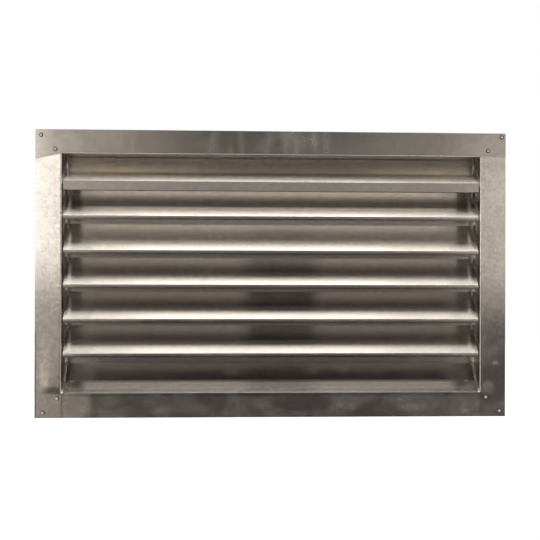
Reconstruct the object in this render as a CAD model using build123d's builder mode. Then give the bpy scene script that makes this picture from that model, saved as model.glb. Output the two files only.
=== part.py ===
"""Gable louvred vent: a riveted frame of bent sheet steel with fixed louvre blades.

Millimetres, +Z up, +X to the right. The vent is seen along +Y, so its front faces -Y.
The origin is the middle of the bottom flange's back face, which lies on the wall.
"""

import os

from build123d import *

os.makedirs("parts", exist_ok=True)

# Sheet steel and its bends
sheet = 0.7
bend_inside = 1.0
soft_bend_inside = 12.0

# Opening between the folds, and the flange round it
opening_width = 610.0
opening_height = 346.0
flange_width = 37.5
head_flange_width = 34.5
sill_flange_width = 35.5

# Louvre blade section, from the lip at the front to the upstand at the back
blade_count = 6
lip_setback = 1.0
lip_height = 5.5
top_lip_height = 12.8
nose_run = 12.5
nose_rise = 14.5
slope_run = 16.5
slope_rise = 24.5
sill_nose_run = 18.0
upstand_height = 11.0

# Where the blades stand in the opening
head_clearance = 0.3
sill_spacing = 57.0

# Blade ends: tabs bent forward to lie on the jambs
end_clearance = 0.3
tab_length = 10.0
tab_relief = 1.0

# Frame members
head_leg_height = 12.0
head_left_drop = 8.0
return_width = 12.0
web_end_clearance = 0.5
web_over_tab = 1.0

# Corner laps: the sheet behind is set back by its own thickness, over a gentle ramp
joggle_length = 40.0
joggle_clearance = 1.0

# Blind rivets
rivet_shank_radius = 1.6
rivet_hole_clearance = 0.05
rivet_head_radius = 3.2
rivet_head_height = 1.1
rivet_crown_radius = 1.7
rivet_bulb_radius = 2.2
rivet_bulb_length = 3.0

# Corner rivets: the outer one's distances from the side and from the top or bottom, and the step inward
top_left_inset = (8.2, 8.2)
top_right_inset = (6.0, 5.6)
bottom_left_inset = (11.5, 7.8)
bottom_right_inset = (8.8, 8.3)
rivet_step = 20.3

# Wire screen
wire_diameter = 0.7
screen_columns = 10
screen_rows = 6
screen_clearance = 0.3
screen_sill_lap = 8.0
screen_top_margin = 1.0

# Frame positions
opening_x = opening_width / 2
outer_x = opening_x + flange_width
sill_z = sill_flange_width / 2
bottom_z = sill_z - sill_flange_width
head_z = sill_z + opening_height
top_z = head_z + head_flange_width
flange_face_y = -sheet
bend_outside = bend_inside + sheet

# Blade positions
blade_rise = nose_rise + slope_rise
upstand_y = lip_setback + nose_run + slope_run
upstand_back_y = upstand_y + sheet
first_nose_z = head_z - head_clearance - blade_rise
last_nose_z = sill_z + sill_spacing
blade_pitch = (first_nose_z - last_nose_z) / (blade_count - 1)
blade_noses_z = [first_nose_z - blade_pitch * i for i in range(blade_count)]
blade_end_x = opening_x - bend_outside - end_clearance

# Tab positions, measured up from a blade's nose
tab_bottom = blade_rise + tab_relief
tab_height = upstand_height - tab_relief
tab_front_y = upstand_back_y - tab_length

# Screen and jamb positions
screen_depth = 2 * wire_diameter
return_y = upstand_back_y + screen_depth
web_bottom_z = sill_z + web_end_clearance
web_top_z = first_nose_z + blade_rise + upstand_height + web_over_tab
jamb_joggle_top_z = head_z - head_left_drop - joggle_clearance
jamb_joggle_bottom_z = jamb_joggle_top_z - joggle_length
sill_joggle_inner_x = blade_end_x - joggle_clearance - joggle_length
sill_joggle_outer_x = blade_end_x - joggle_clearance

# Rivet positions
rivet_hole_radius = rivet_shank_radius + rivet_hole_clearance
rivet_grip = 2 * sheet


def corner_pair(x_side, z_side, inset):
    """Centres, as X and Z, of the two rivets on one corner's diagonal."""
    corner_z = top_z if z_side > 0 else bottom_z
    x_inset, z_inset = inset
    steps = (0, rivet_step)
    return [(x_side * (outer_x - x_inset - step), corner_z - z_side * (z_inset + step)) for step in steps]


top_left_rivets = corner_pair(-1, 1, top_left_inset)
top_right_rivets = corner_pair(1, 1, top_right_inset)
bottom_left_rivets = corner_pair(-1, -1, bottom_left_inset)
bottom_right_rivets = corner_pair(1, -1, bottom_right_inset)


def bent_sheet(plane, face_points, face_radii, side):
    """Section of a bent sheet, from the line along one face and the side its thickness is on."""
    with BuildSketch(plane) as section:
        with BuildLine():
            FilletPolyline(*face_points, radius=face_radii)
            offset(amount=sheet, side=side)
        make_face()
    return section.sketch


def flat_strip(back_y, x_range, z_range):
    """Outline of a flat piece of flange, drawn on the plane of its back face."""
    low_x, high_x = sorted(x_range)
    low_z, high_z = sorted(z_range)
    with BuildSketch(Plane.XZ.offset(-back_y)) as outline:
        with Locations(((low_x + high_x) / 2, (low_z + high_z) / 2)):
            Rectangle(high_x - low_x, high_z - low_z)
    return outline.sketch


def rivet_holes_through_flange(centres):
    """Circles on the wall plane at the rivets' centres."""
    with BuildSketch(Plane.XZ) as circles:
        with Locations(*centres):
            Circle(rivet_hole_radius)
    return circles.sketch


def blade_section(x, front_y, foot_z, nose_z, bend_run):
    """Section of a blade, or of the sill: up from foot_z, folded at nose_z, bent again at bend_run."""
    crease_z = nose_z + blade_rise
    face_points = [
        (front_y, foot_z),
        (front_y, nose_z),
        (lip_setback + bend_run, nose_z + nose_rise),
        (upstand_y, crease_z),
        (upstand_y, crease_z + upstand_height),
    ]
    face_radii = [bend_outside, soft_bend_inside, bend_inside]
    return bent_sheet(Plane.YZ.offset(x), face_points, face_radii, Side.RIGHT)


def tab_section(nose_z):
    """Section of the right-hand tab: from the upstand's end, round a bend, along the jamb."""
    face_points = [
        (blade_end_x, upstand_back_y),
        (opening_x, upstand_back_y),
        (opening_x, tab_front_y),
    ]
    plane = Plane.XY.offset(nose_z + tab_bottom)
    return bent_sheet(plane, face_points, [bend_outside], Side.RIGHT)


def jamb_section(side, z, face_y):
    """Section of a jamb with its flange's front face at face_y."""
    face_points = [
        (side * outer_x, face_y),
        (side * opening_x, face_y),
        (side * opening_x, return_y),
        (side * (opening_x - return_width), return_y),
    ]
    outside = Side.RIGHT if side > 0 else Side.LEFT
    return bent_sheet(Plane.XY.offset(z), face_points, [bend_outside, bend_inside], outside)


# Head: flange over both jambs, web back to the first blade, leg turned up in front of its upstand
head_points = [
    (flange_face_y, top_z),
    (flange_face_y, head_z),
    (upstand_y, head_z),
    (upstand_y, head_z + head_leg_height),
]
head_section = bent_sheet(Plane.YZ, head_points, [bend_outside, bend_outside], Side.LEFT)
web_end_x = opening_x - end_clearance
web_front_y = flange_face_y + bend_outside
web_back_y = upstand_y - bend_outside
with BuildSketch(Plane.XY.offset(head_z)) as head_web:
    with Locations((0, (web_front_y + web_back_y) / 2)):
        Rectangle(2 * web_end_x, web_back_y - web_front_y)

# Head's left ear, cut on a slant
with BuildSketch(Plane.XZ) as head_left_ear:
    with BuildLine():
        Polyline(
            (-blade_end_x, head_z),
            (-blade_end_x, top_z),
            (-outer_x, top_z),
            (-outer_x, head_z - head_left_drop),
            (-opening_x, head_z),
            close=True,
        )
    make_face()
with BuildPart() as head:
    extrude(head_section, amount=blade_end_x, both=True)
    extrude(head_web.sketch, amount=sheet)
    extrude(flat_strip(0, (blade_end_x, outer_x), (head_z, top_z)), amount=sheet)
    extrude(head_left_ear.sketch, amount=sheet)
    holes = rivet_holes_through_flange(top_left_rivets + top_right_rivets)
    extrude(holes, amount=rivet_grip, both=True, mode=Mode.SUBTRACT)
head.part.label = "head"
export_step(head.part, "parts/head.step")

# Jambs: flange over the sill's ends, set back behind the head, web, and return behind the screen
jamb_rivets = {
    -1: top_left_rivets + bottom_left_rivets,
    1: top_right_rivets + bottom_right_rivets,
}
for side, jamb_name in ((-1, "left_jamb"), (1, "right_jamb")):
    flange_x = (side * opening_x, side * outer_x)
    with BuildPart() as jamb:
        main_section = jamb_section(side, web_bottom_z, flange_face_y)
        extrude(main_section, amount=jamb_joggle_bottom_z - web_bottom_z)
        joggle_start = jamb_section(side, jamb_joggle_bottom_z, flange_face_y)
        joggle_end = jamb_section(side, jamb_joggle_top_z, 0)
        loft([joggle_start, joggle_end], ruled=True)
        extrude(joggle_end, amount=web_top_z - jamb_joggle_top_z)
        extrude(flat_strip(0, flange_x, (bottom_z, web_bottom_z)), amount=sheet)
        extrude(flat_strip(sheet, flange_x, (web_top_z, top_z)), amount=sheet)
        flange_holes = rivet_holes_through_flange(jamb_rivets[side])
        extrude(flange_holes, amount=rivet_grip, both=True, mode=Mode.SUBTRACT)
    jamb.part.label = jamb_name
    export_step(jamb.part, f"parts/{jamb_name}.step")

# Sill: flange and blade section in one sheet, its ends set back behind the jambs
with BuildPart() as sill:
    sill_section = blade_section(0, flange_face_y, bottom_z, sill_z, sill_nose_run)
    extrude(sill_section, amount=sill_joggle_inner_x)
    joggle_start = blade_section(sill_joggle_inner_x, flange_face_y, bottom_z, sill_z, sill_nose_run)
    joggle_end = blade_section(sill_joggle_outer_x, 0, bottom_z, sill_z, sill_nose_run)
    loft([joggle_start, joggle_end], ruled=True)
    extrude(joggle_end, amount=blade_end_x - sill_joggle_outer_x)
    ear_z = (bottom_z, sill_z)
    extrude(flat_strip(sheet, (blade_end_x, outer_x), ear_z), amount=sheet)
    extrude(tab_section(sill_z), amount=tab_height)
    mirror(about=Plane.YZ)
    holes = rivet_holes_through_flange(bottom_left_rivets + bottom_right_rivets)
    extrude(holes, amount=rivet_grip, both=True, mode=Mode.SUBTRACT)
sill.part.label = "sill"
export_step(sill.part, "parts/sill.step")

# Louvre blades: the top one has a deeper lip
for i, nose_z in enumerate(blade_noses_z):
    lip = top_lip_height if i == 0 else lip_height
    with BuildPart() as blade:
        section = blade_section(0, lip_setback, nose_z - lip, nose_z, nose_run)
        extrude(section, amount=blade_end_x)
        extrude(tab_section(nose_z), amount=tab_height)
        mirror(about=Plane.YZ)
    blade.part.label = f"louvre_blade_{i + 1}"
    export_step(blade.part, f"parts/louvre_blade_{i + 1}.step")

# Blind rivet, its shank along +Y from under its head
with BuildPart() as rivet:
    with BuildSketch(Plane.XY):
        with BuildLine():
            Polyline(
                (0, -rivet_head_height),
                (rivet_crown_radius, -rivet_head_height),
                (rivet_head_radius, 0),
                (rivet_shank_radius, 0),
                (rivet_shank_radius, rivet_grip),
                (rivet_bulb_radius, rivet_grip),
                (rivet_bulb_radius, rivet_grip + rivet_bulb_length),
                (0, rivet_grip + rivet_bulb_length),
                close=True,
            )
        make_face()
    revolve(axis=Axis.Y)

# Corner rivets: heads on the front, bulbs behind the lapped flanges
with BuildPart() as corner_rivets:
    all_corners = top_left_rivets + top_right_rivets + bottom_left_rivets + bottom_right_rivets
    with Locations(*[(x, flange_face_y, z) for x, z in all_corners]):
        add(rivet.part)
corner_rivets.part.label = "corner_rivets"
export_step(corner_rivets.part, "parts/corner_rivets.step")

# Wire screen: one panel of crossed wires between the upstands and the jambs' returns
screen_half_width = opening_x - bend_inside - screen_clearance
screen_bottom_z = sill_z + blade_rise + upstand_height - screen_sill_lap
screen_top_z = first_nose_z + blade_rise + upstand_height - screen_top_margin
column_pitch = (2 * screen_half_width - screen_depth) / screen_columns
row_pitch = (screen_top_z - screen_bottom_z - screen_depth) / screen_rows
screen_panel = flat_strip(
    return_y,
    (-screen_half_width, screen_half_width),
    (screen_bottom_z, screen_top_z),
)
with BuildSketch(Plane.XZ.offset(-return_y)) as screen_gaps:
    with Locations((0, (screen_bottom_z + screen_top_z) / 2)):
        with GridLocations(column_pitch, row_pitch, screen_columns, screen_rows):
            Rectangle(column_pitch - screen_depth, row_pitch - screen_depth)
with BuildPart() as screen:
    extrude(screen_panel, amount=screen_depth)
    extrude(screen_gaps.sketch, amount=screen_depth, mode=Mode.SUBTRACT)
screen.part.label = "screen"
export_step(screen.part, "parts/screen.step")
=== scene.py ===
"""Gable louvred vent: finishes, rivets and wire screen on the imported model, in metres."""

import math

import bmesh
import bpy
from mathutils import Matrix, Vector


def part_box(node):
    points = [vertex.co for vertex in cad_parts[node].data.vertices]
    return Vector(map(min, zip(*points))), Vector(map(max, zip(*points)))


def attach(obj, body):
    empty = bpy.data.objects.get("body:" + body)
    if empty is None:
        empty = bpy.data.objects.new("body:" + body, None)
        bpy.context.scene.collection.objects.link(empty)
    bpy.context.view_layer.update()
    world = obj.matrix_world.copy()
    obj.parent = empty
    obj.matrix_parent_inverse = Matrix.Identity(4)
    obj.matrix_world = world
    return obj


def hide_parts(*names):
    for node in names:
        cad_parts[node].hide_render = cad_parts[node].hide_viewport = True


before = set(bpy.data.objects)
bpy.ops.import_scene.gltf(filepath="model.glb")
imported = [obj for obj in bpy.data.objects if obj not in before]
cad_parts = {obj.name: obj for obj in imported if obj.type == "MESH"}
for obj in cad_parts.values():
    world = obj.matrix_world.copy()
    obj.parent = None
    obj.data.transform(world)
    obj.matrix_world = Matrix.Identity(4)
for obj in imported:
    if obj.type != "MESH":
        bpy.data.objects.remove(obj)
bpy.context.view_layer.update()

MM = 0.001

# Camera, from the photograph's perspective
CAMERA_PLACE = Vector((-45.1, -1095.4, 194.8)) * MM
CAMERA_YAW = math.radians(-2.141)
CAMERA_PITCH = math.radians(0.081)
CAMERA_ROLL = math.radians(0.17)
FOCAL_PIXELS = 753
IMAGE_PIXELS = 540
SENSOR_WIDTH = 36

# Sheet thickness, and how close points are when they count as one
SHEET = 0.7 * MM
MERGE_DISTANCE = 1e-6
CUT_DISTANCE = 1e-7

# Blind rivets: domed head, shank, and a tail that swells over part of a half turn
RIVET_HEAD_RADIUS = 3.2 * MM
RIVET_HEAD_HEIGHT = 1.2 * MM
RIVET_RIM = 0.2 * MM
RIVET_SHANK_RADIUS = 1.6 * MM
RIVET_NECK_RADIUS = RIVET_SHANK_RADIUS * 0.8
RIVET_BULB_RADIUS = 2.2 * MM
RIVET_BULB_LENGTH = 3.0 * MM
RIVET_BULB_START = 0.25
RIVET_BULB_TURN = 0.6
RIVET_DOME_STEPS = 8
RIVET_BULB_STEPS = 6
RIVET_STEPS = 24

# Places of the corner rivets, as X and Z of each corner's pair in millimetres
CORNER_RIVETS = [
    (-334.3, 390.05), (-314.0, 369.75),
    (336.5, 392.65), (316.2, 372.35),
    (-331.0, -9.95), (-310.7, 10.35),
    (333.7, -9.45), (313.4, 10.85),
]
# Rivets through the blades' end tabs: X of a tab's inner face, Y, and the drop from the blade's top
TAB_FACE_X = 304.3 * MM
TAB_RIVET_Y = 25.0 * MM
TAB_RIVET_DROP = 5.5 * MM
BLADE_COUNT = 6

# Bend in the foot of the left jamb's flange, in millimetres: the heights over which it rises and
# fades, the distances from the vent's middle over which it eases off to the outer edge, and the
# depth behind which nothing bends
KINK_DEPTH = 1.2
KINK_RISE = (13.0, 31.0)
KINK_FADE = (34.0, 115.0)
KINK_EDGE = (320, 338)
KINK_EDGE_LOSS = 0.6
KINK_BACK = 2
KINK_CUTS_X = [-307, -309, -312, -316, -320, -324, -328, -332, -336, -340]
KINK_CUTS_Z = [13.0 + 1.5 * i for i in range(15)] + [40, 48, 58, 68, 78, 88, 98, 108, 115]
SHARP_FOLD = math.radians(25)

# Wire screen
WIRE_RADIUS = 0.35 * MM
WIRE_SPACING = 6.35 * MM
WIRE_SIDES = 8

# Bare sheet: zinc, its rolled grain, its spangle and mottle, and slow waves
ZINC_TINT = (0.605, 0.565, 0.52)
ZINC_ROUGHNESS = 0.205
GRAIN_ANISOTROPY = 0.8
GRAIN_TURN = 0.25
GRAIN_STRETCH = {"X": (5, 800, 800), "Z": (800, 800, 5)}
GRAIN_TONE = 0.012
GRAIN_MEAN = 0.01
SPANGLE_SCALE = 210.0
MOTTLE_STRETCH = (240, 240, 240)
FINE_LEVELS = (0.3, 0.7)
FINE_DULLING = 0.01
WAVE_SCALE = 9.0
WAVE_HEIGHT = 0.4 * MM

# Smudges on the front of the sheet; over these depths they fade to a small share inside
CLOUD_STRETCH = (16, 16, 22)
CLOUD_LEVELS = (0.45, 0.8)
CLOUD_DULLING = 0.3
FRONT_DEPTHS = (0.8 * MM, 2.5 * MM)
INSIDE_SHARE = 0.15

# From here a zone is three lengths: its middle, its half width, and how far its edge is soft

# Jambs: dust and painted shade inside them that thin out with depth, and painted shade down the
# left one's outer edge
INSIDE_DUST_AND_SHADE = 0.5
INSIDE_SHADE_DEPTHS = (10 * MM, 20 * MM)
INSIDE_SHADE_REST = 0.1
EDGE_SHADE = 0.5
EDGE_SPAN = (-343.5 * MM, 2.9 * MM, 0.5 * MM)
EDGE_RISE = (40.0 * MM, 66.0 * MM, 12.0 * MM)

# Blades: where the lowest one's nose and slope lie, and painted shade on the slopes just above the
# fold
BLADE_SPACING = 49.94 * MM
LOWEST_NOSE_Z = 74.75 * MM
NOSE_RISE = 14.5 * MM
FOLD_Y = 13.5 * MM
SLOPE_STEEPNESS = 24.5 / 16.5
SLOPE_MARGIN = 0.6 * MM
SLOPE_FOOT = LOWEST_NOSE_Z + NOSE_RISE - SLOPE_MARGIN - FOLD_Y * SLOPE_STEEPNESS
SLOPE_FACE = 5 * MM
FOLD_SHADE_START = (11.5 * MM, 14.0 * MM)
FOLD_SHADE_END = (18.5 * MM, 26.0 * MM)
# Zones of height with painted shade at the folds, and how dark
SHADED_BLADES = [((300 * MM, 18 * MM, 3 * MM), 0.6), ((138 * MM, 78 * MM, 3 * MM), 0.35)]

# Lips of the blades: painted shade along the bottom edge, a painted highlight along the fold, the
# top one with a bloom
LIP_HEIGHT = 5.5 * MM
LIP_MARGIN = 0.05 * MM
LIP_FOOT = LOWEST_NOSE_Z - LIP_HEIGHT - LIP_MARGIN
LIP_SHADE_HEIGHT = 1.2 * MM
LIP_TONES = (-0.6, 0.5)
LIP_DEPTH = (1.35 * MM, 0.5 * MM, 0.1 * MM)
LIP_SPAN = (170 * MM, 115 * MM, 1 * MM)
TOP_LIP_RISE = (318.0 * MM, 6.7 * MM, 0.5 * MM)
TOP_LIP_BLOOM = 0.5

# Dust inside at both ends of the blades
END_DUST = 0.22
END_DUST_SPAN = (279.0 * MM, 18.0 * MM, 9.0 * MM)

# Sill: where rub marks also reach inside, and darker bands on its flange, fold and slope
SILL_RISE = (20.0 * MM, 42.0 * MM, 3.0 * MM)
SILL_DARKER_BANDS = [
    ((-2.0 * MM, 17.5 * MM, 1.5 * MM), 0.27),
    ((18.5 * MM, 4.0 * MM, 2.5 * MM), 0.42),
    ((46.0 * MM, 13.5 * MM, 1.5 * MM), 0.22),
]

# Water runs on the head's flange
DRIP_SPAN = (-10.0 * MM, 90.0 * MM, 25.0 * MM)
DRIP_RISE = (380.0 * MM, 17.0 * MM, 4.0 * MM)
DRIP_STRETCH = (70, 60, 14)
DRIP_LEVELS = (0.40, 0.80)
DRIP_FILM = 0.45

# Rub marks: X, Z, half width and half height in millimetres, and strength
RUB_MARKS = [
    # Sill flange
    (-15, 4, 17, 11, 0.8), (113, -3, 10, 9, 0.3), (208, -3, 22, 8, 0.6), (282, -9, 10, 6, 0.5),
    (40, -11, 14, 5, 0.3), (-112, -5, 26, 9, 0.35), (-165, -8, 16, 7, 0.3), (-270, -4, 22, 12, 0.3),
    # Right jamb
    (328, 60, 8, 5, 0.8), (312, 98, 3, 9, 0.5), (317, 25, 11, 12, 0.9), (322, 150, 13, 16, 0.3),
    (320, 235, 8, 14, 0.4),
    # Head
    (54, 384, 18, 15, 0.5), (-92, 376, 20, 14, 0.35), (-20, 380, 7, 14, 0.3),
    # Sill slope
    (62, 47, 17, 8, 0.5), (106, 50, 12, 7, 0.5), (158, 44, 12, 6, 0.3), (-60, 45, 22, 6, 0.3),
]
RUB_EDGE = (0.15, 1.2)
RUB_STRETCH = (60, 60, 60)
RUB_LEVELS = (0.1, 0.7)
RUB_FILM = 0.5
RUB_DULLING = 0.1

# Aluminium of the rivets, as noise levels with their roughness or colour; the dirt and painted
# shade round a corner rivet's head lie behind its crown and in front of its tail
RIVET_SKIN_SCALE = 600.0
RIVET_ROUGHNESS = [(0.35, 0.22), (0.7, 0.42)]
RIVET_SKIN = [(0.3, (0.82, 0.80, 0.77)), (0.7, (0.95, 0.94, 0.91))]
RIVET_METALLIC = 0.2
RIM_DEPTHS = (-1.76 * MM, -1.62 * MM)
RIM_SHADE = 0.07
TAIL_DEPTH = 0.2 * MM

# Zinc on the screen's wire, as noise levels with their roughness or colour
WIRE_SKIN_SCALE = 400.0
WIRE_ROUGHNESS = [(0.35, 0.35), (0.7, 0.6)]
WIRE_SKIN = [(0.3, (0.36, 0.36, 0.36)), (0.7, (0.58, 0.57, 0.55))]

# Studio: floor, the world's level as light on the vent and as seen, lamps, and turns of the cards
FLOOR_Z = -0.8
FLOOR_COLOUR = (0.85, 0.84, 0.82, 1)
FLOOR_ROUGHNESS = 0.9
FLOOR_GLOW = 0.63
WHITE = (1, 1, 1, 1)
WORLD_LEVELS = (0.6, 1.0)
LAMP_TINT = (1.0, 0.96, 0.90)
FACE_UP = (0, 0, 0)
FACE_DOWN = (math.pi, 0, 0)
UPRIGHT = (math.pi / 2, 0, 0)


def feed(tree, socket, value):
    """Set a socket to a value, or link it to another socket."""
    if isinstance(value, bpy.types.NodeSocket):
        tree.links.new(value, socket)
    else:
        socket.default_value = value


def add_node(tree, kind, **inputs):
    """New shader node with some of its inputs set or linked."""
    node = tree.nodes.new(kind)
    for name, value in inputs.items():
        feed(tree, node.inputs[name.replace("_", " ")], value)
    return node


def math_node(tree, operation, *values):
    """Result of one sum on the values."""
    node = tree.nodes.new("ShaderNodeMath")
    node.operation = operation
    for socket, value in zip(node.inputs, values):
        feed(tree, socket, value)
    return node.outputs[0]


def product(tree, level, *others):
    """Level times each of the others."""
    for other in others:
        level = math_node(tree, "MULTIPLY", level, other)
    return level


def weighted_sum(tree, start, parts):
    """Start value plus each part's level times its weight."""
    total = start
    for level, weight in parts:
        total = math_node(tree, "ADD", product(tree, level, weight), total)
    return total


def fade(tree, value, low, high, first=0.0, last=1.0, smooth=False):
    """Level that goes from first to last while the value goes from low to high."""
    node = add_node(
        tree, "ShaderNodeMapRange",
        Value=value, From_Min=low, From_Max=high, To_Min=first, To_Max=last,
    )
    if smooth:
        node.interpolation_type = "SMOOTHSTEP"
    return node.outputs[0]


def zone_level(tree, value, middle, half, soft):
    """One inside a zone, falling smoothly to none over its soft edge."""
    away = math_node(tree, "ABSOLUTE", math_node(tree, "SUBTRACT", value, middle))
    return fade(tree, away, half - soft, half + soft, 1.0, 0.0, smooth=True)


def noise_level(tree, place, stretch, levels, **settings):
    """Noise in a stretched place, as none below the first level and one above the second."""
    spot = add_node(tree, "ShaderNodeMapping", Vector=place, Scale=stretch).outputs[0]
    noise = add_node(tree, "ShaderNodeTexNoise", Vector=spot, Scale=1.0, **settings).outputs[0]
    return fade(tree, noise, *levels)


def ramp_node(tree, factor, stops):
    """Colour ramp through the stops, each a position and a grey or a colour."""
    node = add_node(tree, "ShaderNodeValToRGB", Fac=factor)
    elements = node.color_ramp.elements
    while len(elements) < len(stops):
        elements.new(0.5)
    for element, (place, colour) in zip(elements, stops):
        if not isinstance(colour, tuple):
            colour = (colour, colour, colour)
        element.position = place
        element.color = (*colour, 1)
    return node.outputs["Color"]


def shaded_colour(tree, colour, level):
    """Colour times a level."""
    node = tree.nodes.new("ShaderNodeVectorMath")
    node.operation = "SCALE"
    feed(tree, node.inputs[0], colour)
    feed(tree, node.inputs["Scale"], level)
    return node.outputs[0]


def empty_material(name):
    """Material with only its Principled shader and its output."""
    material = bpy.data.materials.new(name)
    material.use_nodes = True
    tree = material.node_tree
    return material, tree, tree.nodes["Principled BSDF"]


def object_place(tree):
    """Place on the vent, whole and as its X, Y and Z."""
    place = tree.nodes.new("ShaderNodeTexCoord").outputs["Object"]
    return place, add_node(tree, "ShaderNodeSeparateXYZ", Vector=place).outputs


def above_blade(tree, height, foot):
    """Height above a foot that comes again at each blade."""
    return math_node(tree, "WRAP", math_node(tree, "SUBTRACT", height, foot), BLADE_SPACING, 0.0)


def drip_marks(tree, place, axes):
    """Pale runs of water down the middle of the head's flange."""
    across = zone_level(tree, axes["X"], *DRIP_SPAN)
    height = zone_level(tree, axes["Z"], *DRIP_RISE)
    runs = noise_level(tree, place, DRIP_STRETCH, DRIP_LEVELS, Detail=0.0)
    return product(tree, across, height, runs)


def fold_shade(tree, axes):
    """Painted shade along the foot of each blade's slope, just above its fold."""
    start = fade(tree, axes["Y"], *FOLD_SHADE_START)
    end = fade(tree, axes["Y"], *FOLD_SHADE_END, 1.0, 0.0)
    blades = [(zone_level(tree, axes["Z"], *zone), share) for zone, share in SHADED_BLADES]
    slope_line = weighted_sum(tree, axes["Z"], [(axes["Y"], -SLOPE_STEEPNESS)])
    lift = above_blade(tree, slope_line, SLOPE_FOOT)
    upper_face = math_node(tree, "LESS_THAN", lift, SLOPE_FACE)
    return product(tree, start, end, weighted_sum(tree, 0.0, blades), upper_face)


def lip_highlight_and_shade(tree, axes):
    """Tone of the blades' lips: a painted highlight along the fold, painted shade along the bottom
    edge.
    """
    rise = above_blade(tree, axes["Z"], LIP_FOOT)
    lip_light = fade(tree, rise, LIP_SHADE_HEIGHT, LIP_HEIGHT, *LIP_TONES)
    depth = zone_level(tree, axes["Y"], *LIP_DEPTH)
    height = zone_level(tree, axes["Z"], *LIP_SPAN)
    on_lip = math_node(tree, "LESS_THAN", rise, LIP_HEIGHT + SHEET)
    return product(tree, depth, height, on_lip, lip_light)


def edge_shade(tree, axes):
    """Painted shade: a dark line down the lower part of the left jamb's outer edge."""
    across = zone_level(tree, axes["X"], *EDGE_SPAN)
    height = zone_level(tree, axes["Z"], *EDGE_RISE)
    return product(tree, across, height)


def rub_marks(tree, place):
    """Soft pale marks left on the sheet by handling, broken up by fine noise."""
    levels = []
    for x, z, half_x, half_z, strength in RUB_MARKS:
        spot = add_node(
            tree, "ShaderNodeMapping",
            Vector=place,
            Location=(-x / half_x, 0, -z / half_z),
            Scale=(1 / (half_x * MM), 0, 1 / (half_z * MM)),
        )
        away = tree.nodes.new("ShaderNodeVectorMath")
        away.operation = "LENGTH"
        feed(tree, away.inputs[0], spot.outputs[0])
        near = fade(tree, away.outputs["Value"], *RUB_EDGE, 1.0, 0.0, smooth=True)
        levels.append((near, strength))
    patchy = noise_level(tree, place, RUB_STRETCH, RUB_LEVELS, Detail=0.5)
    return product(tree, weighted_sum(tree, 0.0, levels), patchy)


def galvanised_sheet(name, grain, spangle_share, cloud_share):
    """Rolled galvanised sheet: grain along one axis, spangle, waves, marks of use and weather, and
    painted shade and highlights.
    """
    material, tree, shader = empty_material(name)
    place, axes = object_place(tree)
    depth = axes["Y"]

    # Texture of the sheet itself
    spangle = add_node(tree, "ShaderNodeTexVoronoi", Vector=place, Scale=SPANGLE_SCALE)
    crystal = add_node(tree, "ShaderNodeSeparateColor", Color=spangle.outputs["Color"]).outputs[0]
    mottle = noise_level(tree, place, MOTTLE_STRETCH, FINE_LEVELS, Detail=3.0)
    lines = noise_level(tree, place, GRAIN_STRETCH[grain], FINE_LEVELS, Detail=2.0)

    # Smudges and rub marks, where hands reach
    inside = fade(tree, depth, *FRONT_DEPTHS)
    handled = fade(tree, inside, 0.0, 1.0, 1.0, INSIDE_SHARE)
    smudges = noise_level(
        tree, place, CLOUD_STRETCH, CLOUD_LEVELS, Detail=3.0, Roughness=0.55, Distortion=0.8
    )
    cloud = product(tree, smudges, handled)
    reach = math_node(tree, "MAXIMUM", handled, zone_level(tree, axes["Z"], *SILL_RISE))
    marks = product(tree, rub_marks(tree, place), reach)

    # Tone of the metal, with the jambs' dust and painted shade, the blades' painted shade and
    # highlights, and the sill's darker bands
    if grain == "Z":
        # Dust and painted shade inside the jambs, thinning out with depth; painted shade down the
        # left jamb's outer edge
        inside_dust_and_shade = product(tree, inside, fade(tree, depth, *INSIDE_SHADE_DEPTHS, 1.0, INSIDE_SHADE_REST))
        tone_shifts = [(inside_dust_and_shade, -INSIDE_DUST_AND_SHADE), (edge_shade(tree, axes), -EDGE_SHADE)]
    else:
        # Painted shade at the blades' folds, painted highlight and shade on the lips, darker bands
        # on the sill
        tone_shifts = [(fold_shade(tree, axes), -1.0), (lip_highlight_and_shade(tree, axes), 1.0)]
        tone_shifts += [(zone_level(tree, axes["Z"], *zone), -share) for zone, share in SILL_DARKER_BANDS]
    fine_share = 0.5 * spangle_share
    fine = [(crystal, fine_share), (mottle, fine_share), (lines, GRAIN_TONE)]
    tone = weighted_sum(tree, 1.0 - fine_share - GRAIN_MEAN, fine + tone_shifts)
    feed(tree, shader.inputs["Base Color"], shaded_colour(tree, ZINC_TINT, tone))

    # Films that cover the metal
    side = math_node(tree, "ABSOLUTE", axes["X"])
    dust = product(tree, zone_level(tree, side, *END_DUST_SPAN), inside)
    top_lip = zone_level(tree, axes["Z"], *TOP_LIP_RISE)
    bloom = product(tree, top_lip, zone_level(tree, depth, *LIP_DEPTH))
    films = [
        (cloud, cloud_share),
        (drip_marks(tree, place, axes), DRIP_FILM),
        (marks, RUB_FILM),
        (dust, END_DUST),
        (bloom, TOP_LIP_BLOOM),
    ]
    bare = weighted_sum(tree, 1.0, [(level, -share) for level, share in films])
    feed(tree, shader.inputs["Metallic"], bare)
    dulling = [
        (cloud, CLOUD_DULLING * cloud_share),
        (marks, RUB_DULLING),
        (lines, FINE_DULLING),
        (crystal, FINE_DULLING),
    ]
    feed(tree, shader.inputs["Roughness"], weighted_sum(tree, ZINC_ROUGHNESS, dulling))

    # Slow waves, and a gloss that is drawn out across the grain
    waves = add_node(tree, "ShaderNodeTexNoise", Vector=place, Scale=WAVE_SCALE, Detail=1.0)
    wave_bump = add_node(
        tree, "ShaderNodeBump", Height=waves.outputs[0], Strength=1.0, Distance=WAVE_HEIGHT
    )
    feed(tree, shader.inputs["Normal"], wave_bump.outputs[0])
    shader.inputs["Anisotropic"].default_value = GRAIN_ANISOTROPY
    shader.inputs["Anisotropic Rotation"].default_value = GRAIN_TURN
    grain_line = add_node(tree, "ShaderNodeCombineXYZ", **{grain: 1.0})
    feed(tree, shader.inputs["Tangent"], grain_line.outputs[0])
    return material


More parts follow.
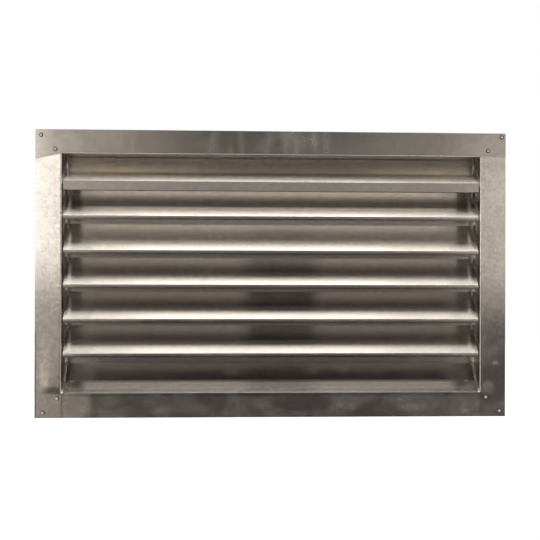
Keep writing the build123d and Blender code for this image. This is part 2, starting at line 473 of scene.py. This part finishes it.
def rivet_aluminium():
    """Satin aluminium with a dull skin, and dirt and painted shade round the edge of each corner
    rivet's head.
    """
    material, tree, shader = empty_material("rivet_aluminium")
    place, axes = object_place(tree)
    skin = add_node(tree, "ShaderNodeTexNoise", Vector=place, Scale=RIVET_SKIN_SCALE, Detail=3.0)
    colour = ramp_node(tree, skin.outputs[0], RIVET_SKIN)
    crown = fade(tree, axes["Y"], *RIM_DEPTHS, 1.0, RIM_SHADE)
    tail = math_node(tree, "GREATER_THAN", axes["Y"], TAIL_DEPTH)
    clean_and_unshaded = math_node(tree, "MAXIMUM", crown, tail)
    feed(tree, shader.inputs["Base Color"], shaded_colour(tree, colour, clean_and_unshaded))
    feed(tree, shader.inputs["Roughness"], ramp_node(tree, skin.outputs[0], RIVET_ROUGHNESS))
    shader.inputs["Metallic"].default_value = RIVET_METALLIC
    return material


def screen_wire():
    """Galvanised wire with dull patches of zinc."""
    material, tree, shader = empty_material("screen_wire")
    place = tree.nodes.new("ShaderNodeTexCoord").outputs["Object"]
    zinc = add_node(tree, "ShaderNodeTexNoise", Vector=place, Scale=WIRE_SKIN_SCALE, Detail=4.0)
    feed(tree, shader.inputs["Base Color"], ramp_node(tree, zinc.outputs[0], WIRE_SKIN))
    feed(tree, shader.inputs["Roughness"], ramp_node(tree, zinc.outputs[0], WIRE_ROUGHNESS))
    shader.inputs["Metallic"].default_value = 1.0
    return material


def finished_piece(name, shape, material):
    """Piece of the vent made from a bmesh, with its finish."""
    bmesh.ops.recalc_face_normals(shape, faces=shape.faces)
    mesh = bpy.data.meshes.new(name)
    shape.to_mesh(mesh)
    shape.free()
    mesh.materials.append(material)
    piece = bpy.data.objects.new(name, mesh)
    bpy.context.collection.objects.link(piece)
    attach(piece, "root")
    return piece


def blind_rivet(grip):
    """Set blind rivet along +Y from under its head: domed head, shank and swollen tail."""
    outline = []
    for i in range(RIVET_DOME_STEPS + 1):
        turn = i / RIVET_DOME_STEPS * math.pi / 2
        rise = RIVET_RIM + (RIVET_HEAD_HEIGHT - RIVET_RIM) * math.cos(turn)
        outline.append((RIVET_HEAD_RADIUS * math.sin(turn), -rise))
    outline += [(RIVET_HEAD_RADIUS, 0.0), (RIVET_SHANK_RADIUS, 0.0), (RIVET_SHANK_RADIUS, grip)]
    for i in range(RIVET_BULB_STEPS + 1):
        swell = math.sin(math.pi * (RIVET_BULB_START + i / RIVET_BULB_STEPS * RIVET_BULB_TURN))
        radius = RIVET_NECK_RADIUS + (RIVET_BULB_RADIUS - RIVET_NECK_RADIUS) * swell
        outline.append((radius, grip + RIVET_BULB_LENGTH * i / RIVET_BULB_STEPS))
    outline.append((0.0, grip + RIVET_BULB_LENGTH))
    shape = bmesh.new()
    points = [shape.verts.new((radius, depth, 0)) for radius, depth in outline]
    edges = [shape.edges.new(pair) for pair in zip(points, points[1:])]
    bmesh.ops.spin(
        shape, geom=points + edges, cent=(0, 0, 0), axis=(0, 1, 0),
        angle=math.tau, steps=RIVET_STEPS, use_merge=True,
    )
    bmesh.ops.remove_doubles(shape, verts=shape.verts, dist=MERGE_DISTANCE)
    for face in shape.faces:
        face.smooth = True
    return shape


def repeat_shape(single, places):
    """One bmesh with a copy of the shape at each place, given as matrices."""
    source = bpy.data.meshes.new("single")
    single.to_mesh(source)
    single.free()
    whole = bmesh.new()
    for place in places:
        start = len(whole.verts)
        whole.from_mesh(source)
        whole.verts.ensure_lookup_table()
        bmesh.ops.transform(whole, matrix=place, verts=whole.verts[start:])
    bpy.data.meshes.remove(source)
    return whole


def ease(value, low, high):
    """Smooth rise from none at the low value to one at the high value."""
    share = min(max((value - low) / (high - low), 0.0), 1.0)
    return share * share * (3 - 2 * share)


def bent_left_jamb():
    """Left jamb with its flange kinked just above the sill."""
    shape = bmesh.new()
    shape.from_mesh(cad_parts["left_jamb"].data)
    bmesh.ops.remove_doubles(shape, verts=shape.verts, dist=MERGE_DISTANCE)
    cuts = [((x * MM, 0, 0), (1, 0, 0)) for x in KINK_CUTS_X]
    cuts += [((0, 0, z * MM), (0, 0, 1)) for z in KINK_CUTS_Z]
    for point, direction in cuts:
        everything = shape.verts[:] + shape.edges[:] + shape.faces[:]
        bmesh.ops.bisect_plane(
            shape, geom=everything, dist=CUT_DISTANCE, plane_co=point, plane_no=direction
        )
    for vert in shape.verts:
        x, y, z = vert.co / MM
        if y < KINK_BACK:
            height = ease(z, *KINK_RISE) * (1 - ease(z, *KINK_FADE))
            kink = height * (1 - KINK_EDGE_LOSS * ease(-x, *KINK_EDGE))
            vert.co.y -= KINK_DEPTH * kink * MM
    for face in shape.faces:
        face.smooth = True
    for edge in shape.edges:
        edge.smooth = edge.is_manifold and edge.calc_face_angle(0.0) < SHARP_FOLD
    return shape


def screen_wires(low, high):
    """Welded mesh: upright wires in front, level wires behind."""
    whole = bmesh.new()
    for axis, layer_y in (("Z", low[1] + WIRE_RADIUS), ("X", high[1] - WIRE_RADIUS)):
        length_axis, count_axis = (2, 0) if axis == "Z" else (0, 2)
        length = high[length_axis] - low[length_axis]
        width = high[count_axis] - low[count_axis] - 2 * WIRE_RADIUS
        count = round(width / WIRE_SPACING)
        middle = (low[length_axis] + high[length_axis]) / 2
        for i in range(count + 1):
            start = len(whole.verts)
            bmesh.ops.create_cone(
                whole, cap_ends=True, segments=WIRE_SIDES,
                radius1=WIRE_RADIUS, radius2=WIRE_RADIUS, depth=length,
            )
            whole.verts.ensure_lookup_table()
            at = low[count_axis] + WIRE_RADIUS + width * i / count
            turn = Matrix.Rotation(math.pi / 2, 4, "Y") if axis == "X" else Matrix.Identity(4)
            spot = (middle, layer_y, at) if axis == "X" else (at, layer_y, middle)
            place = Matrix.Translation(spot) @ turn
            bmesh.ops.transform(whole, matrix=place, verts=whole.verts[start:])
    for face in whole.faces:
        face.smooth = len(face.verts) == 4
    return whole


def stage_card(name, size, place, turn, material):
    """Flat card that belongs to the studio, not to the vent."""
    shape = bmesh.new()
    bmesh.ops.create_grid(shape, x_segments=1, y_segments=1, size=0.5)
    bmesh.ops.scale(shape, vec=(*size, 1), verts=shape.verts)
    mesh = bpy.data.meshes.new(name)
    shape.to_mesh(mesh)
    shape.free()
    mesh.materials.append(material)
    card = bpy.data.objects.new(name, mesh)
    card.location = place
    card.rotation_euler = turn
    bpy.context.collection.objects.link(card)
    return card


def glowing_card(name, size, place, turn, base, patches=()):
    """Card the camera doesn't see, with a plain glow and soft-edged patches of more glow."""
    material = bpy.data.materials.new(name)
    material.use_nodes = True
    tree = material.node_tree
    tree.nodes.clear()
    axes = object_place(tree)[1]
    glow = add_node(tree, "ShaderNodeEmission", Color=(*base, 1), Strength=1.0).outputs[0]
    for middle, half, soft, colour, strength in patches:
        across = zone_level(tree, axes["X"], middle[0], half[0], soft[0])
        upward = zone_level(tree, axes["Y"], middle[1], half[1], soft[1])
        level = product(tree, across, upward, strength)
        patch = add_node(tree, "ShaderNodeEmission", Color=(*colour, 1), Strength=level).outputs[0]
        both = tree.nodes.new("ShaderNodeAddShader")
        feed(tree, both.inputs[0], glow)
        feed(tree, both.inputs[1], patch)
        glow = both.outputs[0]
    add_node(tree, "ShaderNodeOutputMaterial", Surface=glow)
    card = stage_card(name, size, place, turn, material)
    card.visible_camera = False


def seen_rays(tree):
    """One for what is seen, also in metal, and none for what lights the vent."""
    rays = tree.nodes.new("ShaderNodeLightPath").outputs
    seen = math_node(tree, "MAXIMUM", rays["Is Camera Ray"], rays["Is Glossy Ray"])
    return math_node(tree, "MAXIMUM", seen, rays["Is Transmission Ray"])


def soft_lamp(name, place, size, power):
    """Wide lamp that shines straight down and isn't seen by the camera."""
    lamp = bpy.data.lights.new(name, "AREA")
    lamp.shape = "RECTANGLE"
    lamp.size, lamp.size_y = size
    lamp.energy = power
    lamp.color = LAMP_TINT
    holder = bpy.data.objects.new(name, lamp)
    holder.location = place
    holder.rotation_euler = Vector((0, 0, -place[2])).to_track_quat("-Z", "Y").to_euler()
    holder.visible_camera = False
    bpy.context.collection.objects.link(holder)


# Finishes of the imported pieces
long_sheet = galvanised_sheet("galvanised_across", grain="X", spangle_share=0.15, cloud_share=0.24)
jamb_sheet = galvanised_sheet("galvanised_upright", grain="Z", spangle_share=0.30, cloud_share=0.16)
rivet_finish = rivet_aluminium()
wire_finish = screen_wire()
for name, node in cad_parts.items():
    finish = jamb_sheet if name.endswith("jamb") else long_sheet
    node.data.materials.clear()
    node.data.materials.append(finish)

# Left jamb
left_jamb = finished_piece("bent_left_jamb", bent_left_jamb(), jamb_sheet)
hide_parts("left_jamb")

# Corner rivets, through two sheets
corner_places = [Matrix.Translation((x * MM, -SHEET, z * MM)) for x, z in CORNER_RIVETS]
corner_shape = repeat_shape(blind_rivet(2 * SHEET), corner_places)
corner_rivets = finished_piece("set_corner_rivets", corner_shape, rivet_finish)
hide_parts("corner_rivets")

# Tab rivets: heads inside on the blades' tabs, tails outside the jambs
tab_places = []
for blade in [f"louvre_blade_{i + 1}" for i in range(BLADE_COUNT)] + ["sill"]:
    high_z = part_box(blade)[1][2]
    for side in (-1, 1):
        turn = Matrix.Rotation(-side * math.pi / 2, 4, "Z")
        spot = (side * TAB_FACE_X, TAB_RIVET_Y, high_z - TAB_RIVET_DROP)
        tab_places.append(Matrix.Translation(spot) @ turn)
tab_shape = repeat_shape(blind_rivet(2 * SHEET), tab_places)
finished_piece("tab_rivets", tab_shape, rivet_finish)

# Wire screen
low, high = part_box("screen")
screen = finished_piece("wire_screen", screen_wires(low, high), wire_finish)
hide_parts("screen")

# Studio floor, which keeps the vent's shadow and looks white
floor_material, floor_tree, floor_shader = empty_material("pale_floor")
floor_shader.inputs["Base Color"].default_value = FLOOR_COLOUR
floor_shader.inputs["Roughness"].default_value = FLOOR_ROUGHNESS
floor_shader.inputs["Emission Color"].default_value = WHITE
floor_glow = product(floor_tree, seen_rays(floor_tree), FLOOR_GLOW)
feed(floor_tree, floor_shader.inputs["Emission Strength"], floor_glow)
stage_card("floor", (12, 10.7), (0, 3.85, FLOOR_Z), FACE_UP, floor_material)

# Cards that the bright sheet mirrors. A patch of glow on a card is its middle, half size and soft
# edge across and up the card, its colour and its strength.

# In front of the vent: a wall with glow to each side, a dark ceiling, and a mat on the floor
room_patches = [
    ((-1.85, 0.355), (0.75, 0.355), (0.08, 0.05), (1.0, 0.98, 0.95), 3.9),  # left
    ((-1.85, -0.40), (0.75, 0.60), (0.35, 0.20), (1.0, 0.93, 0.82), 1.0),  # lower left
    ((-1.0, 0.70), (0.45, 0.14), (0.35, 0.10), (1.0, 0.95, 0.85), 1.4),  # over the left half
    ((0.85, 0.70), (0.3, 0.14), (0.25, 0.10), (1.0, 0.96, 0.88), 0.5),  # over the right half
    ((0.05, 0.13), (0.95, 0.37), (0.12, 0.10), (1.0, 0.98, 0.92), 0.20),  # middle
    ((0.05, 0.40), (0.95, 0.08), (0.12, 0.06), (1.0, 0.98, 0.92), 0.24),  # top of the middle
    ((1.85, 0.30), (0.75, 0.45), (0.2, 0.11), (1.0, 0.96, 0.88), 1.12),  # right
    ((1.75, -0.60), (0.8, 0.45), (0.3, 0.20), (1.0, 0.95, 0.95), 0.06),  # lower right
    ((0.0, 0.76), (2.4, 0.42), (0.5, 0.25), (1.0, 0.93, 0.84), 0.04),  # whole top
]
glowing_card("room_wall", (6, 4.2), (0, -2.6, 0.2), UPRIGHT, (0.034, 0.023, 0.026), room_patches)
ceiling_patches = [((0.0, -0.63), (2.5, 0.33), (0.3, 0.06), (1.0, 0.95, 0.90), 0.3)]
ceiling_base = (0.02, 0.018, 0.018)
glowing_card("room_ceiling", (6, 1.95), (0, -1.655, 2.3), FACE_DOWN, ceiling_base, ceiling_patches)
mat_patches = [
    ((-0.85, 0.0), (0.6, 0.3), (0.2, 0.02), (1.0, 0.88, 0.62), 1.0),  # left
    ((1.0, 0.0), (0.58, 0.3), (0.2, 0.02), (1.0, 0.88, 0.66), 1.0),  # right
]
mat_place = (0, -0.41, FLOOR_Z + 0.01)
glowing_card("floor_mat", (2.6, 0.5), mat_place, FACE_UP, (0.5, 0.47, 0.44), mat_patches)

# Behind the vent: a bright strip above it, a dark ceiling, and a dim flag with a dark middle
rear_patches = [((0.0, 0.0), (1.9, 0.36), (0.2, 0.05), (1.0, 0.98, 0.95), 2.2)]
glowing_card("rear_wall", (4, 0.8), (0, 1.9, 0.65), UPRIGHT, (0.2, 0.19, 0.18), rear_patches)
shade_patches = [((0.0, 0.76), (1.9, 0.15), (0.1, 0.05), (1.0, 0.95, 0.90), 1.5)]
shade_base = (0.04, 0.037, 0.036)
glowing_card("rear_ceiling", (4, 1.65), (0, 0.975, 0.95), FACE_DOWN, shade_base, shade_patches)
glowing_card("rear_table", (1.5, 0.4), (0, 0.9, 0.1), UPRIGHT, (0.06, 0.054, 0.05))
flag_patches = [
    ((-0.185, 0.0), (0.15, 0.2), (0.012, 0.02), (1.0, 0.95, 0.90), 0.43),  # left
    ((0.215, 0.0), (0.135, 0.2), (0.012, 0.02), (1.0, 0.95, 0.90), 0.43),  # right
    ((0.022, -0.10), (0.06, 0.05), (0.012, 0.012), (1.0, 0.95, 0.90), 0.43),  # foot of the middle
]
flag_place = (0, 0.13, 0.1325)
glowing_card("rear_flag", (0.7, 0.265), flag_place, UPRIGHT, (0.08, 0.06, 0.078), flag_patches)

# White surroundings
world = bpy.data.worlds.new("studio")
world.use_nodes = True
bpy.context.scene.world = world
surround = world.node_tree.nodes["Background"]
surround.inputs["Color"].default_value = WHITE
world_level = fade(world.node_tree, seen_rays(world.node_tree), 0.0, 1.0, *WORLD_LEVELS)
feed(world.node_tree, surround.inputs["Strength"], world_level)

# Lamps
soft_lamp("ceiling_light", (0.08, -0.27, 2.25), size=(2.5, 0.87), power=9.7)
soft_lamp("middle_light", (0.03, -0.27, 2.24), size=(1.1, 0.87), power=2.7)

# Camera
camera_data = bpy.data.cameras.new("camera")
camera_data.sensor_width = SENSOR_WIDTH
camera_data.lens = FOCAL_PIXELS * SENSOR_WIDTH / IMAGE_PIXELS
camera = bpy.data.objects.new("camera", camera_data)
aim = (
    Matrix.Rotation(CAMERA_YAW, 4, "Z")
    @ Matrix.Rotation(math.pi / 2 + CAMERA_PITCH, 4, "X")
    @ Matrix.Rotation(CAMERA_ROLL, 4, "Z")
)
camera.location = CAMERA_PLACE
camera.rotation_euler = aim.to_euler()
bpy.context.collection.objects.link(camera)
bpy.context.scene.camera = camera
bpy.context.scene.view_settings.view_transform = "Standard"
